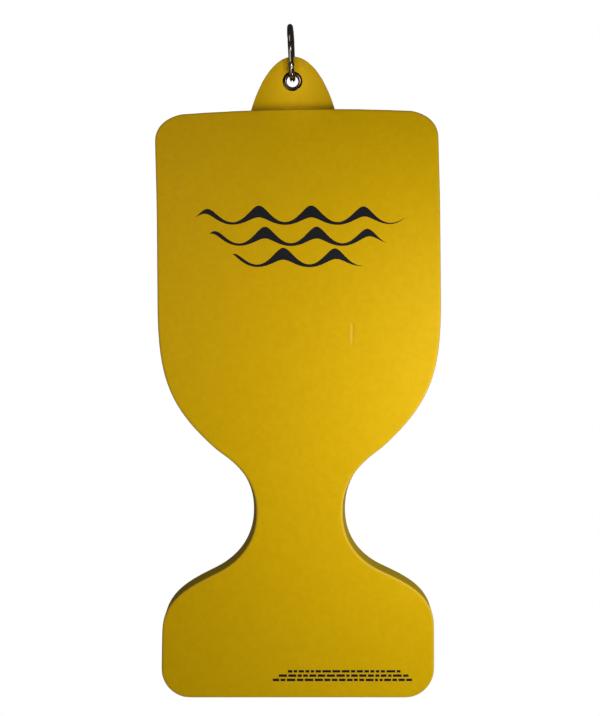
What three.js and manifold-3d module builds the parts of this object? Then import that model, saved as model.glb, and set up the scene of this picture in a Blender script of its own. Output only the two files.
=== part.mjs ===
// A pool saddle float hanging from its snap hook: an hourglass slab of vinyl-coated foam, with a tab at
// its top edge, an eyelet through the tab and a steel snap hook through the eyelet.
// Millimetres, +Z up. The slab's front face looks along -Y, and +X is to the right.
// The origin is the underside of the hook's top bow, where the whole thing hangs.

import * as THREE from 'three';
import { mergeVertices } from 'three/addons/utils/BufferGeometryUtils.js';
import Module from 'manifold-3d';

const wasm = await Module();
wasm.setup();

// Fits: the air between two pieces that lie against each other.
const GAP = 0.3;

// Snap hook, a pear shape of round wire: the large bow is up and the small bow holds the eyelet.
const WIRE_RADIUS = 4;
const HOOK_LENGTH = 82.5;
const LARGE_BOW_RADIUS = 16;
const SMALL_BOW_RADIUS = 10;
const LARGE_BOW_Z = WIRE_RADIUS - LARGE_BOW_RADIUS;
const SMALL_BOW_Z = 3 * WIRE_RADIUS + SMALL_BOW_RADIUS - HOOK_LENGTH;
const BOW_SPACING = LARGE_BOW_Z - SMALL_BOW_Z;
const LEG_LEAN = Math.asin((LARGE_BOW_RADIUS - SMALL_BOW_RADIUS) / BOW_SPACING);
const LEG_LENGTH = BOW_SPACING * Math.cos(LEG_LEAN);
const HOOK_YAW = THREE.MathUtils.degToRad(-4);
const HOOK_LEAN = THREE.MathUtils.degToRad(-2.4);
const WIRE_HALF_SIDES = 6;
const WIRE_STEPS = 56;

// Snap hook, where things sit along the gate's leg, from the small bow's end of it.
const LEG_STUB = 4.6;
const PIVOT_AT = 9;
const PIN_AT = 44;
const TONGUE_THICKNESS = 2.4;
const TONGUE_HALF_WIDTH = 3.3;
const CAM_FLAT = 2.5;
const PIN_RADIUS = 1.2;
const GATE_RADIUS = 3.8;
const GATE_END = 47.5;
const BORE_RADIUS = 1.85;
const BORE_END = 32;
const PLUNGER_RADIUS = 1.3;
const PLUNGER_TIP = PIVOT_AT + CAM_FLAT + GAP;
const PLUNGER_COLLAR = PLUNGER_TIP + 5.4;
const SPRING_TURNS = 7;
const SPRING_WIRE_RADIUS = 0.25;
const SPRING_MEAN_RADIUS = 1.3;

// Eyelet: its barrel hangs on the small bow.
const EYELET_X = 3;
const EYELET_Z = -74;
const BARREL_RADIUS = 8.25;
const BARREL_WALL = 0.8;
const FLANGE_RADIUS = 14.2;

// Tab: a bell outline from its apex down to the slab's top edge.
const TAB_CENTRE_X = 3.9;
const TAB_APEX_Z = -38.1;
const TAB_HALF_BASE = 60.8;
const TAB_FULLNESS = 0.146;
const TAB_THICKNESS = 3.2;
const TAB_SKIN = 0.7;
const TAB_HEM = 3.7;
const WEBBING_THICKNESS = 1.2;
const TAB_LIFT = 1.2;
const ANCHOR_DEPTH = 55;

// Slab: half widths of the outline about its own centre line, and depths below its top edge.
const SLAB_TOP_Z = -115.8;
const SLAB_CENTRE_X = 10;
const SLAB_LENGTH = 838;
const SLAB_THICKNESS = 38;
const CREST_HALF_WIDTH = 201.6;
const CREST_CORNER = 38.5;
const CREST_SAG = 6.6;
const CREST_DIP = 1.8;
const CREST_Z = SLAB_TOP_Z - CREST_DIP;
const SEAT_DEPTH = 275;
const HIP = new THREE.Vector2(122.7, -482.8);
const HIP_SLOPE = new THREE.Vector2(-0.729, -0.684);
const NECK = new THREE.Vector2(66.6, -573.6);
const SHOULDER = new THREE.Vector2(125.3, -659);
const SHOULDER_SLOPE = new THREE.Vector2(0.9, -0.435);
const FOOT_HALF_WIDTH = 193.8;
const FOOT_DEPTH = 739;
const FOOT_CORNER = 41.4;
const EDGE_RADIUS = 3.5;
const SKIN = 1;

// How far the outline's curves reach along their slopes at each of those places.
const SEAT_HANDLE = 100;
const HIP_HANDLES = [90, 16];
const NECK_HANDLES = [58, 60];
const SHOULDER_HANDLES = [12, 40];
const FOOT_HANDLE = 45.5;

// The walls aren't square to the faces: the front face is narrower at the neck, and lower at the
// shoulders, than the rear face.
const NECK_FLARE = 5.5;
const SHOULDER_DROP = 2.5;
const WALL_REACH = 90;

// The sheet is cut by hand, so its outline isn't quite true: it climbs a little towards the right down
// to the shoulders, its top is set over to the left, and its middle and neck to the right.
const CUT_CLIMB = 0.0154;
const CLIMB_END_DEPTH = 712;
const CREST_SHIFT = -2.1;
const CREST_SHIFT_REACH = 160;
const MIDDLE_SHIFT = 3.2;
const MIDDLE_DEPTH = 414;
const MIDDLE_REACH = 328;
const NECK_SHIFT = 0.5;

const CURVE_SEGMENTS = 8;
const EDGE_SEGMENTS = 2;
const ROUND_SEGMENTS = 24;
const RING_SEGMENTS = 40;

const MATERIALS = {
  vinyl: new THREE.MeshStandardMaterial({ color: 0xd2a900, roughness: 0.55, metalness: 0 }),
  foam: new THREE.MeshStandardMaterial({ color: 0xe9e4d4, roughness: 0.95, metalness: 0 }),
  webbing: new THREE.MeshStandardMaterial({ color: 0xd8d2c2, roughness: 0.9, metalness: 0 }),
  nickel: new THREE.MeshStandardMaterial({ color: 0x5f5a52, roughness: 0.25, metalness: 1 }),
  steel: new THREE.MeshStandardMaterial({ color: 0x77736c, roughness: 0.2, metalness: 1 }),
  spring_steel: new THREE.MeshStandardMaterial({ color: 0x8b8b8b, roughness: 0.35, metalness: 1 }),
};

// ---- Solids: joining and cutting -----------------------------------------------------------------

function solid(geometry) {
  const bare = geometry.clone();
  bare.deleteAttribute('normal');
  bare.deleteAttribute('uv');
  const merged = mergeVertices(bare, 1e-4);
  return new wasm.Manifold(new wasm.Mesh({
    numProp: 3,
    vertProperties: new Float32Array(merged.attributes.position.array),
    triVerts: new Uint32Array(merged.index.array),
  }));
}

function geometryOf(manifold) {
  const mesh = manifold.getMesh();
  const geometry = new THREE.BufferGeometry();
  geometry.setAttribute('position', new THREE.BufferAttribute(mesh.vertProperties, 3));
  geometry.setIndex(new THREE.BufferAttribute(mesh.triVerts, 1));
  return geometry;
}

// A box between two corners.
function block(low, high) {
  const size = new THREE.Vector3().subVectors(high, low);
  const centre = new THREE.Vector3().addVectors(low, high).multiplyScalar(0.5);
  return new THREE.BoxGeometry(size.x, size.y, size.z).translate(centre.x, centre.y, centre.z);
}

// A round rod along X, Y or Z, from one end to the other.
function rod(axis, radius, from, to, segments = ROUND_SEGMENTS) {
  const geometry = new THREE.CylinderGeometry(radius, radius, to - from, segments);
  geometry.translate(0, (from + to) / 2, 0);
  if (axis === 'x') geometry.rotateZ(-Math.PI / 2);
  if (axis === 'z') geometry.rotateX(Math.PI / 2);
  return geometry;
}

// An outline drawn in X and Z, extruded through Y about the middle plane.
function slabOf(shape, thickness, options = {}) {
  const bevel = options.bevel ?? 0;
  const geometry = new THREE.ExtrudeGeometry(shape, {
    depth: thickness - 2 * bevel,
    steps: 1,
    curveSegments: CURVE_SEGMENTS,
    bevelEnabled: bevel > 0,
    bevelThickness: bevel,
    bevelSize: bevel,
    bevelOffset: -(options.shrink ?? bevel),
    bevelSegments: options.segments ?? 1,
  });
  return geometry.translate(0, 0, bevel - thickness / 2).rotateX(Math.PI / 2);
}

// ---- Slab ----------------------------------------------------------------------------------------

// A point a given way back (or on) along a direction, for the handle of a curve.
function along(point, direction, distance) {
  return new THREE.Vector2().copy(direction).multiplyScalar(distance).add(point);
}

// The hourglass outline: its right side is drawn from the crest to the foot, and the left mirrors it.
function slabShape() {
  const half = new THREE.Path();
  const crestEnd = CREST_HALF_WIDTH - CREST_CORNER;
  half.moveTo(0, -CREST_DIP);
  half.quadraticCurveTo(crestEnd / 2, -CREST_DIP, crestEnd, -CREST_SAG);
  half.bezierCurveTo(crestEnd + CREST_CORNER * 0.58, -CREST_SAG * 1.6,
    CREST_HALF_WIDTH, -CREST_SAG - CREST_CORNER * 0.45, CREST_HALF_WIDTH, -CREST_SAG - CREST_CORNER);
  half.lineTo(CREST_HALF_WIDTH, -SEAT_DEPTH);
  const intoHip = along(HIP, HIP_SLOPE, -HIP_HANDLES[0]);
  const outOfHip = along(HIP, HIP_SLOPE, HIP_HANDLES[1]);
  const intoShoulder = along(SHOULDER, SHOULDER_SLOPE, -SHOULDER_HANDLES[0]);
  const outOfShoulder = along(SHOULDER, SHOULDER_SLOPE, SHOULDER_HANDLES[1]);
  half.bezierCurveTo(CREST_HALF_WIDTH, -SEAT_DEPTH - SEAT_HANDLE, intoHip.x, intoHip.y, HIP.x, HIP.y);
  half.bezierCurveTo(outOfHip.x, outOfHip.y, NECK.x, NECK.y + NECK_HANDLES[0], NECK.x, NECK.y);
  half.bezierCurveTo(NECK.x, NECK.y - NECK_HANDLES[1], intoShoulder.x, intoShoulder.y,
    SHOULDER.x, SHOULDER.y);
  half.bezierCurveTo(outOfShoulder.x, outOfShoulder.y,
    FOOT_HALF_WIDTH, -FOOT_DEPTH + FOOT_HANDLE, FOOT_HALF_WIDTH, -FOOT_DEPTH);
  half.absarc(FOOT_HALF_WIDTH - FOOT_CORNER, FOOT_CORNER - SLAB_LENGTH, FOOT_CORNER,
    0, -Math.PI / 2, true);
  half.lineTo(0, -SLAB_LENGTH);
  const right = half.getPoints(CURVE_SEGMENTS);
  const left = right.slice(1, -1).reverse().map((point) => new THREE.Vector2(-point.x, point.y));
  return new THREE.Shape([...right, ...left]);
}

// The whole slab with its rounded edges, or the same form sunk by an inset all round.
function slabForm(inset) {
  const geometry = slabOf(slabShape(), SLAB_THICKNESS - 2 * inset, {
    bevel: EDGE_RADIUS - inset,
    shrink: EDGE_RADIUS,
    segments: EDGE_SEGMENTS,
  });
  const position = geometry.attributes.position;
  const point = new THREE.Vector3();
  for (let i = 0; i < position.count; i += 1) {
    cutByHand(point.fromBufferAttribute(position, i));
    position.setXYZ(i, point.x, point.y, point.z);
  }
  return geometry.translate(SLAB_CENTRE_X, 0, SLAB_TOP_Z);
}

// How near a depth is to a place, from 1 there down to nothing a few reaches away.
function nearness(depth, placeDepth, reach) {
  return Math.exp(-(((depth - placeDepth) / reach) ** 2));
}

// Moves a point of the true outline to where the cut puts it.
function cutByHand(point) {
  const depth = -point.z;
  const nearNeck = nearness(depth, -NECK.y, WALL_REACH);
  const nearCrest = 1 - THREE.MathUtils.smoothstep(depth, 0, CREST_SHIFT_REACH);
  const towardsFront = 0.5 - point.y / SLAB_THICKNESS;
  const lean = -NECK_FLARE * towardsFront * nearNeck * point.x / NECK.x;
  const drop = SHOULDER_DROP * towardsFront * nearness(depth, -SHOULDER.y, WALL_REACH);
  const climb = CUT_CLIMB * (1 - THREE.MathUtils.smoothstep(depth, CLIMB_END_DEPTH, SLAB_LENGTH));
  point.z += climb * point.x - drop;
  point.x += lean + CREST_SHIFT * nearCrest + NECK_SHIFT * nearNeck
    + MIDDLE_SHIFT * nearness(depth, MIDDLE_DEPTH, MIDDLE_REACH);
}

// A box round the webbing where it goes down into the slab, from a depth below the top edge.
function webbingRoom(depth) {
  const halfWidth = TAB_HALF_BASE - TAB_HEM;
  const halfThickness = WEBBING_THICKNESS / 2 + GAP;
  return block(
    new THREE.Vector3(TAB_CENTRE_X - halfWidth, -halfThickness, CREST_Z - depth),
    new THREE.Vector3(TAB_CENTRE_X + halfWidth, halfThickness, CREST_Z + 3 * SKIN),
  );
}

// The dipped skin, slit along its top edge where the tab's webbing comes through.
function vinylCoating() {
  return geometryOf(solid(slabForm(0))
    .subtract(solid(slabForm(SKIN)))
    .subtract(solid(webbingRoom(4 * SKIN))));
}

// One of the two foam sheets, with half of the pocket that the tab's webbing is bonded into.
function foamPly(side) {
  const reach = 2 * SLAB_LENGTH;
  const inner = side * GAP / 2;
  const outer = side * SLAB_THICKNESS;
  const half = block(
    new THREE.Vector3(-reach, Math.min(inner, outer), -reach),
    new THREE.Vector3(reach, Math.max(inner, outer), reach),
  );
  return geometryOf(solid(slabForm(SKIN + GAP))
    .intersect(solid(half))
    .subtract(solid(webbingRoom(ANCHOR_DEPTH + 2 * GAP))));
}

// ---- Tab -----------------------------------------------------------------------------------------

// A bell: its half width grows with the root of the depth below the apex, then runs out to the base.
// A tail carries the base straight on down.
function bellShape(height, halfBase, tail = 0) {
  const steps = 14;
  const spread = halfBase * halfBase / height + TAB_FULLNESS * height;
  const right = [];
  for (let i = 1; i <= steps; i += 1) {
    const depth = height * (i / steps) ** 2;
    right.push(new THREE.Vector2(Math.sqrt(depth * (spread - TAB_FULLNESS * depth)), -depth));
  }
  if (tail > 0) right.push(new THREE.Vector2(halfBase, -height - tail));
  const left = [...right].reverse().map((point) => new THREE.Vector2(-point.x, point.y));
  return new THREE.Shape([new THREE.Vector2(0, 0), ...right, ...left]);
}

function eyeletHole(radius) {
  return rod('y', radius, -TAB_THICKNESS * 2, TAB_THICKNESS * 2).translate(EYELET_X, 0, EYELET_Z);
}

// The dipped skin of the tab, open along its base where the webbing goes down into the slab.
function tabCoating() {
  const height = TAB_APEX_Z - CREST_Z - TAB_LIFT;
  const outer = slabOf(bellShape(height, TAB_HALF_BASE), TAB_THICKNESS, { bevel: TAB_SKIN, segments: 2 });
  const room = slabOf(
    bellShape(height - TAB_HEM, TAB_HALF_BASE - TAB_HEM, SKIN),
    TAB_THICKNESS - 2 * TAB_SKIN,
  );
  outer.translate(TAB_CENTRE_X, 0, TAB_APEX_Z);
  room.translate(TAB_CENTRE_X, 0, TAB_APEX_Z - TAB_HEM);
  const hole = eyeletHole(BARREL_RADIUS + BARREL_WALL + GAP);
  return geometryOf(solid(outer).subtract(solid(room)).subtract(solid(hole)));
}

// The woven strip inside the tab, whose wide end is the anchor between the foam sheets.
function tabWebbing() {
  const inset = TAB_HEM + GAP;
  const height = TAB_APEX_Z - CREST_Z - inset;
  const strip = slabOf(bellShape(height, TAB_HALF_BASE - inset, ANCHOR_DEPTH), WEBBING_THICKNESS);
  strip.translate(TAB_CENTRE_X, 0, TAB_APEX_Z - inset);
  return geometryOf(solid(strip).subtract(solid(eyeletHole(BARREL_RADIUS + BARREL_WALL + GAP))));
}

// ---- Eyelet: closed ring profiles of radius and place along the hole -----------------------------

function ring(profile) {
  const points = [...profile, profile[0]].map(([radius, place]) => new THREE.Vector2(radius, place));
  return new THREE.LatheGeometry(points.reverse(), RING_SEGMENTS).translate(EYELET_X, 0, EYELET_Z);
}

function eyeletBody() {
  const face = -TAB_THICKNESS / 2 - GAP;
  const wall = BARREL_RADIUS + BARREL_WALL;
  return ring([
    [BARREL_RADIUS, 0],
    [BARREL_RADIUS + 0.25, 1.9],
    [BARREL_RADIUS + 0.8, 2.95],
    [BARREL_RADIUS + 1.5, 3.5],
    [BARREL_RADIUS + 2.3, 3.4],
    [BARREL_RADIUS + 2.4, 3.15],
    [wall + 0.6, 3.0],
    [wall, 2.3],
    [wall, face],
    [FLANGE_RADIUS, face],
    [FLANGE_RADIUS, face - 0.5],
    [FLANGE_RADIUS - 1.3, face - 1.1],
    [FLANGE_RADIUS - 3.2, face - 1.5],
    [BARREL_RADIUS + 0.8, face - 1.1],
    [BARREL_RADIUS + 0.2, face + 0.1],
  ]);
}

function eyeletWasher() {
  const face = TAB_THICKNESS / 2 + GAP;
  const inner = BARREL_RADIUS + BARREL_WALL + GAP;
  return ring([
    [inner, face],
    [inner, face + 0.5],
    [inner + 1.6, face + 0.9],
    [FLANGE_RADIUS - 1, face + 0.7],
    [FLANGE_RADIUS, face + 0.3],
    [FLANGE_RADIUS, face],
  ]);
}

// ---- Snap hook, drawn in its own plane of Y (across, to the spine side) and Z --------------------

// The wire's centre line: over the large bow, down the spine, round the small bow, up the gate's stub.
class HookLine extends THREE.Curve {
  constructor() {
    super();
    this.largeArc = LARGE_BOW_RADIUS * (Math.PI + 2 * LEG_LEAN);
    this.smallArc = SMALL_BOW_RADIUS * (Math.PI - 2 * LEG_LEAN);
    this.total = this.largeArc + LEG_LENGTH + this.smallArc + LEG_STUB;
  }

  getPoint(t, target = new THREE.Vector3()) {
    const lean = LEG_LEAN;
    let distance = t * this.total;
    if (distance <= this.largeArc) {
      const angle = Math.PI + lean - distance / LARGE_BOW_RADIUS;
      return target.set(0, LARGE_BOW_RADIUS * Math.cos(angle),
        LARGE_BOW_Z + LARGE_BOW_RADIUS * Math.sin(angle));
    }
    distance -= this.largeArc;
    if (distance <= LEG_LENGTH) {
      return target.set(0, LARGE_BOW_RADIUS * Math.cos(lean) - distance * Math.sin(lean),
        LARGE_BOW_Z - LARGE_BOW_RADIUS * Math.sin(lean) - distance * Math.cos(lean));
    }
    distance -= LEG_LENGTH;
    if (distance <= this.smallArc) {
      const angle = -lean - distance / SMALL_BOW_RADIUS;
      return target.set(0, SMALL_BOW_RADIUS * Math.cos(angle),
        SMALL_BOW_Z + SMALL_BOW_RADIUS * Math.sin(angle));
    }
    distance -= this.smallArc;
    return target.set(0, -SMALL_BOW_RADIUS * Math.cos(lean) - distance * Math.sin(lean),
      SMALL_BOW_Z - SMALL_BOW_RADIUS * Math.sin(lean) + distance * Math.cos(lean));
  }
}

// The gate's leg has its own axes: X across the hook, Y into the ring, Z up the leg.
const LEG_FOOT = new THREE.Vector3(0, -SMALL_BOW_RADIUS * Math.cos(LEG_LEAN),
  SMALL_BOW_Z - SMALL_BOW_RADIUS * Math.sin(LEG_LEAN));

function onLeg(geometry) {
  return geometry.rotateX(LEG_LEAN).translate(LEG_FOOT.x, LEG_FOOT.y, LEG_FOOT.z);
}

function legBlock(thickness, y0, y1, z0, z1) {
  return block(new THREE.Vector3(-thickness / 2, y0, z0), new THREE.Vector3(thickness / 2, y1, z1));
}

// The bent wire. Its nose ends in a slotted tongue, and its other end in the tongue that the gate turns
// on, whose flat top is the cam for the plunger.
function hookBody() {
  const section = new THREE.Shape().absarc(0, 0, WIRE_RADIUS, 0, 2 * Math.PI);
  const wire = new THREE.ExtrudeGeometry(section, {
    curveSegments: WIRE_HALF_SIDES, steps: WIRE_STEPS, bevelEnabled: false, extrudePath: new HookLine(),
  });
  const width = TONGUE_HALF_WIDTH;
  const tongueHalf = TONGUE_THICKNESS / 2;
  const disc = rod('x', width, -tongueHalf, tongueHalf).translate(0, 0, PIVOT_AT);
  const pivotTongue = solid(legBlock(TONGUE_THICKNESS, -width, width, LEG_STUB - 2, PIVOT_AT))
    .add(solid(disc))
    .subtract(solid(legBlock(2 * TONGUE_THICKNESS, -width - 1, width + 1,
      PIVOT_AT + CAM_FLAT, PIVOT_AT + 2 * width)))
    .subtract(solid(rod('x', PIN_RADIUS + GAP, -width, width).translate(0, 0, PIVOT_AT)));
  const slot = PIN_RADIUS + GAP + 0.1;
  const noseTongue = solid(legBlock(TONGUE_THICKNESS, -width, width, PIN_AT - 3.3, LEG_LENGTH + 2))
    .subtract(solid(rod('x', slot, -width, width).translate(0, 0, PIN_AT)))
    .subtract(solid(legBlock(2 * TONGUE_THICKNESS, 0, width + 1, PIN_AT - slot, PIN_AT + slot)));
  return geometryOf(solid(wire)
    .add(solid(onLeg(geometryOf(pivotTongue))))
    .add(solid(onLeg(geometryOf(noseTongue)))));
}

// The gate is a rod forked at both ends, bored from below for its spring.
function hookGate() {
  const slotWidth = TONGUE_THICKNESS + 2 * GAP;
  const reach = 2 * GATE_RADIUS;
  const roundEnd = solid(rod('x', GATE_RADIUS, -reach, reach).translate(0, 0, PIVOT_AT))
    .add(solid(legBlock(2 * reach, -reach, reach, PIVOT_AT, GATE_END)));
  const pinBore = rod('x', PIN_RADIUS + GAP, -reach, reach);
  return geometryOf(solid(rod('z', GATE_RADIUS, PIVOT_AT - GATE_RADIUS, GATE_END))
    .intersect(roundEnd)
    .subtract(solid(legBlock(slotWidth, -reach, reach, 0, PIVOT_AT + GATE_RADIUS + 0.1)))
    .subtract(solid(legBlock(slotWidth, -reach, reach, PIN_AT - 3.9, GATE_END + 1)))
    .subtract(solid(rod('z', BORE_RADIUS, PIVOT_AT, BORE_END)))
    .subtract(solid(pinBore.clone().translate(0, 0, PIVOT_AT)))
    .subtract(solid(pinBore.clone().translate(0, 0, PIN_AT))));
}

// A rivet along X with a domed head outside each fork of the gate.
function gateRivet() {
  const under = GATE_RADIUS + GAP;
  const headRadius = PIN_RADIUS + 0.9;
  const half = [
    [PIN_RADIUS, under], [headRadius, under], [headRadius * 0.85, under + 0.4], [0, under + 0.6],
  ];
  const mirrored = [...half].reverse().map(([radius, place]) => [radius, -place]);
  const points = [...mirrored, ...half].map(([radius, place]) => new THREE.Vector2(radius, place));
  return new THREE.LatheGeometry(points, ROUND_SEGMENTS / 2).rotateZ(-Math.PI / 2)
    .translate(0, 0, PIVOT_AT);
}

function nosePin() {
  const half = GATE_RADIUS - GAP;
  return rod('x', PIN_RADIUS, -half, half, ROUND_SEGMENTS / 2).translate(0, 0, PIN_AT);
}

function springPlunger() {
  const profile = [
    [0, PLUNGER_TIP],
    [PLUNGER_RADIUS, PLUNGER_TIP],
    [PLUNGER_RADIUS, PLUNGER_COLLAR - 0.7],
    [BORE_RADIUS - GAP, PLUNGER_COLLAR - 0.7],
    [BORE_RADIUS - GAP, PLUNGER_COLLAR],
    [PLUNGER_RADIUS / 2, PLUNGER_COLLAR],
    [PLUNGER_RADIUS / 2, PLUNGER_COLLAR + 3],
    [0, PLUNGER_COLLAR + 3],
  ];
  const points = profile.map(([radius, place]) => new THREE.Vector2(radius, place));
  return new THREE.LatheGeometry(points, ROUND_SEGMENTS / 2).rotateX(Math.PI / 2);
}

class Coil extends THREE.Curve {
  getPoint(t, target = new THREE.Vector3()) {
    const angle = 2 * Math.PI * SPRING_TURNS * t;
    const start = PLUNGER_COLLAR + GAP + SPRING_WIRE_RADIUS;
    const end = BORE_END - GAP - SPRING_WIRE_RADIUS;
    return target.set(SPRING_MEAN_RADIUS * Math.cos(angle), SPRING_MEAN_RADIUS * Math.sin(angle),
      start + (end - start) * t);
  }
}

function gateSpring() {
  const section = new THREE.Shape().absarc(0, 0, SPRING_WIRE_RADIUS, 0, 2 * Math.PI);
  return new THREE.ExtrudeGeometry(section, {
    curveSegments: WIRE_HALF_SIDES / 2,
    steps: 12 * SPRING_TURNS,
    bevelEnabled: false,
    extrudePath: new Coil(),
  });
}

// ---- The assembly --------------------------------------------------------------------------------

function addPiece(parent, name, geometry, material) {
  const mesh = new THREE.Mesh(geometry, material);
  mesh.name = name;
  parent.add(mesh);
}

const saddleFloat = new THREE.Group();
addPiece(saddleFloat, 'foam_front_ply', foamPly(-1), MATERIALS.foam);
addPiece(saddleFloat, 'foam_rear_ply', foamPly(1), MATERIALS.foam);
addPiece(saddleFloat, 'vinyl_coating', vinylCoating(), MATERIALS.vinyl);
addPiece(saddleFloat, 'tab_webbing', tabWebbing(), MATERIALS.webbing);
addPiece(saddleFloat, 'tab_coating', tabCoating(), MATERIALS.vinyl);
addPiece(saddleFloat, 'eyelet', eyeletBody(), MATERIALS.nickel);
addPiece(saddleFloat, 'eyelet_washer', eyeletWasher(), MATERIALS.nickel);

const snapHook = new THREE.Group();
snapHook.rotation.set(0, HOOK_LEAN, HOOK_YAW);
saddleFloat.add(snapHook);
addPiece(snapHook, 'hook_body', hookBody(), MATERIALS.steel);

const gateLeg = new THREE.Group();
gateLeg.position.copy(LEG_FOOT);
gateLeg.rotation.x = LEG_LEAN;
snapHook.add(gateLeg);
addPiece(gateLeg, 'hook_gate', hookGate(), MATERIALS.steel);
addPiece(gateLeg, 'gate_rivet', gateRivet(), MATERIALS.steel);
addPiece(gateLeg, 'nose_pin', nosePin(), MATERIALS.steel);
addPiece(gateLeg, 'spring_plunger', springPlunger(), MATERIALS.steel);
addPiece(gateLeg, 'gate_spring', gateSpring(), MATERIALS.spring_steel);

export default saddleFloat;
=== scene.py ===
"""A pool saddle float hanging from its snap hook: a vinyl-dipped foam slab, its tab, eyelet and hook.

Metres, +Z up. The slab's front face looks along -Y, and the hook's top bow hangs at the origin.
"""
import math
import random

import bmesh
import bpy
from mathutils import Matrix, Vector, geometry, kdtree, noise


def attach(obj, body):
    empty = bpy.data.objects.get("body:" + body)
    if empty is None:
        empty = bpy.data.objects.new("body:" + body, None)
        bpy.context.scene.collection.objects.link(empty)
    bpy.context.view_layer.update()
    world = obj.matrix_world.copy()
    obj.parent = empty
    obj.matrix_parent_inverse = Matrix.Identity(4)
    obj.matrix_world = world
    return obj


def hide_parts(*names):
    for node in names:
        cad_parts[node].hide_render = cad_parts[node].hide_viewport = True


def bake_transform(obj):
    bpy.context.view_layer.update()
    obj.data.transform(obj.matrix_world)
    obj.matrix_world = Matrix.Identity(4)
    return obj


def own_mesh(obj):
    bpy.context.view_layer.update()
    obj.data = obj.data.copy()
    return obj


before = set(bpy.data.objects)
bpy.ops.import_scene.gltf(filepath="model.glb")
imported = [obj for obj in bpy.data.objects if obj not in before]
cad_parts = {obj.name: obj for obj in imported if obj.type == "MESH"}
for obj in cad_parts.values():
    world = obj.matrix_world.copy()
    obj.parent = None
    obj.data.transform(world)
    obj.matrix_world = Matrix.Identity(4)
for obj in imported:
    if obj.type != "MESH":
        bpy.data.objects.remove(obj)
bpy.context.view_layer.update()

# ---- Sizes, as the parts are cut ------------------------------------------------------------------

SLAB_THICKNESS = 0.038
SLAB_TOP = -0.1158
SLAB_CENTRE_X = 0.010
SLAB_LENGTH = 0.838
SLAB_EDGE_RADIUS = 0.0024
SLAB_GRID = 0.0017
CREST_HALF_WIDTH = 0.2016
CREST_CORNER = 0.0385
CREST_SAG = 0.0066
CREST_DIP = 0.0018
CREST_TOP = SLAB_TOP - CREST_DIP
SEAT_DEPTH = 0.275
HIP = Vector((0.1227, -0.4828))
HIP_SLOPE = Vector((-0.729, -0.684))
NECK = Vector((0.0666, -0.5736))
SHOULDER = Vector((0.1253, -0.659))
SHOULDER_SLOPE = Vector((0.9, -0.435))
FOOT_HALF_WIDTH = 0.1938
FOOT_DEPTH = 0.739
FOOT_CORNER = 0.0414
ROUND_HANDLE = 0.5523
SEAT_HANDLE = 0.100
HIP_HANDLES = (0.090, 0.016)
NECK_HANDLES = (0.058, 0.060)
SHOULDER_HANDLES = (0.012, 0.040)
FOOT_HANDLE = 0.0455

NECK_FLARE = 0.0055
SHOULDER_DROP = 0.0025
WALL_REACH = 0.090
CUT_CLIMB = 0.0154
CLIMB_END_DEPTH = 0.712
CREST_SHIFT = -0.0021
CREST_SHIFT_REACH = 0.160
MIDDLE_SHIFT = 0.0032
MIDDLE_DEPTH = 0.414
MIDDLE_REACH = 0.328
NECK_SHIFT = 0.0005

FACE_RIPPLE = 0.0005
FACE_RIPPLE_PITCH = 0.16
DENT_TOP = Vector((0.0883, -0.4220))
DENT_LENGTH = 0.036
DENT_HALF_WIDTH = 0.0018
DENT_DEPTH = 0.0010
CREASE_REACH = 0.011
SLIT_DEPTH = 0.0012
SLIT_HALF_WIDTH = 0.0035

TAB_CENTRE_X = 0.0039
TAB_APEX = -0.0381
TAB_HALF_BASE = 0.0608
TAB_FULLNESS = 0.146
TAB_THICKNESS = 0.0032
TAB_LIFT = 0.0012
TAB_EDGE_RADIUS = 0.0013
TAB_GRID = 0.0008
TAB_HEM = 0.0037
HEM_WIDTH = 0.0007
HEM_DEPTH = 0.00022
TAB_FILL = 0.00018
# Hollows beside the hook: where in X and Z, how wide, how deep.
TAB_HOLLOWS = (((-0.0111, -0.0542), 0.0065, 0.0011), ((0.0246, -0.0562), 0.0075, 0.0008))

EYELET_CENTRE = Vector((0.003, 0, -0.0740))
BARREL_RADIUS = 0.00825
BARREL_WALL = 0.0008
FLANGE_RADIUS = 0.0142
GAP = 0.0003

WIRE_RADIUS = 0.004
LARGE_BOW_RADIUS = 0.016
SMALL_BOW_RADIUS = 0.010
LARGE_BOW_Z = WIRE_RADIUS - LARGE_BOW_RADIUS
SMALL_BOW_Z = -0.0605
LEG_LEAN = math.asin((LARGE_BOW_RADIUS - SMALL_BOW_RADIUS) / (LARGE_BOW_Z - SMALL_BOW_Z))
LEG_LENGTH = (LARGE_BOW_Z - SMALL_BOW_Z) * math.cos(LEG_LEAN)
LEG_STUB = 0.0046
PIVOT_AT = 0.009
PIN_AT = 0.044
TONGUE_THICKNESS = 0.0024
TONGUE_HALF_WIDTH = 0.0033
TONGUE_SUNK = 0.002
CAM_FLAT = 0.0025
NOSE_REACH = 0.0033
EDGE_BREAK = 0.0003
PIN_RADIUS = 0.0012
GATE_RADIUS = 0.0038
HOOK_TURN = Matrix.Rotation(math.radians(-2.4), 4, "Y") @ Matrix.Rotation(math.radians(-4), 4, "Z")
LEG_ON_HOOK = (Matrix.Translation((0, -SMALL_BOW_RADIUS * math.cos(LEG_LEAN),
                                   SMALL_BOW_Z - SMALL_BOW_RADIUS * math.sin(LEG_LEAN)))
               @ Matrix.Rotation(LEG_LEAN, 4, "X"))
LEG_PLACE = HOOK_TURN @ LEG_ON_HOOK

WAVE_MARK_CENTRE = Vector((0.0112, -0.3019))
WAVE_MARK_WIDTH = 0.298
INK_THICKNESS = 0.00012
WAVE_HEIGHT = 0.0085
WAVE_PITCH = 0.030
DASH_ROWS = ((-0.0033, 0.1564), (-0.0161, 0.1678), (-0.0247, 0.1778))
DASH_TOP = -0.9158
DASH_PITCH = 0.0061
DASH_HALF_HEIGHT = 0.0017
DASH_LENGTHS = (0.004, 0.013)
DASH_SPACE = 0.0021


def smoothstep(value, low, high):
    share = min(max((value - low) / (high - low), 0.0), 1.0)
    return share * share * (3 - 2 * share)


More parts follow.
